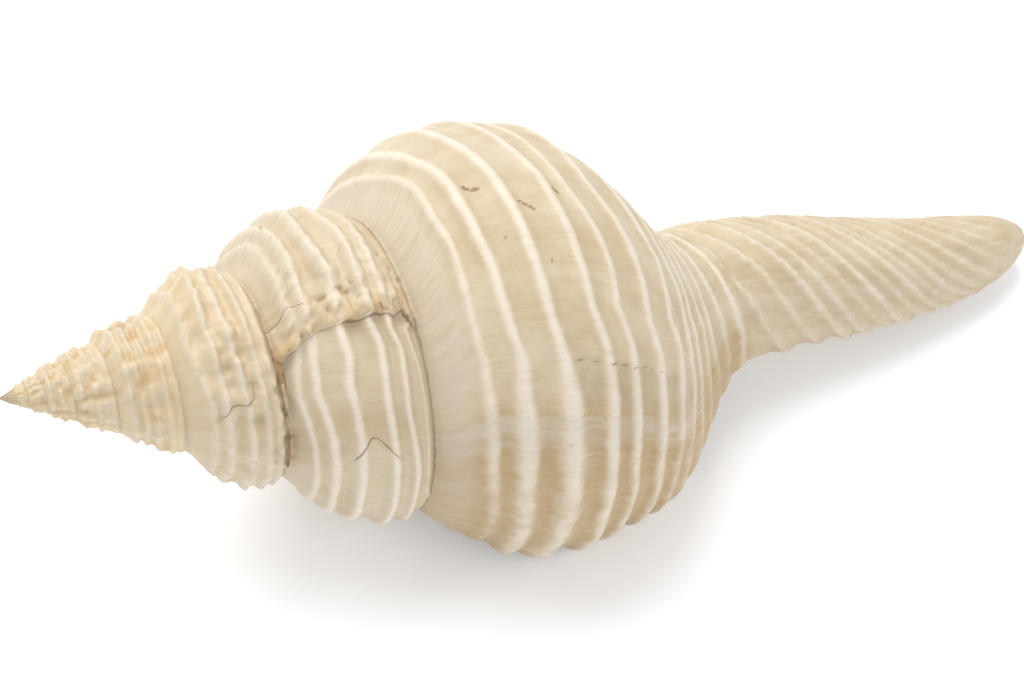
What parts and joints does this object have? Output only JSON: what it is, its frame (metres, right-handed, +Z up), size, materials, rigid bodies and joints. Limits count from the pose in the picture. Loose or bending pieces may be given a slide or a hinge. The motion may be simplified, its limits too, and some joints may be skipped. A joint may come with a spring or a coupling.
{
  "type": "conch shell",
  "caption": "Spindle-shaped conch shell with a stepped spire, spiral cords, a healed break and a long open canal, lying on its mouth.",
  "frame": {"origin": "on the ground under the middle of the shell's bounding box", "axes": "+X from the tip of the spire to the end of the canal, +Z up, as the shell lies on its mouth"},
  "size_m": [0.1864, 0.072, 0.0628],
  "materials": {
    "shell": "chalky satin"
  },
  "bodies": {
    "root": {"shell": "shell"}
  },
  "joints": []
}
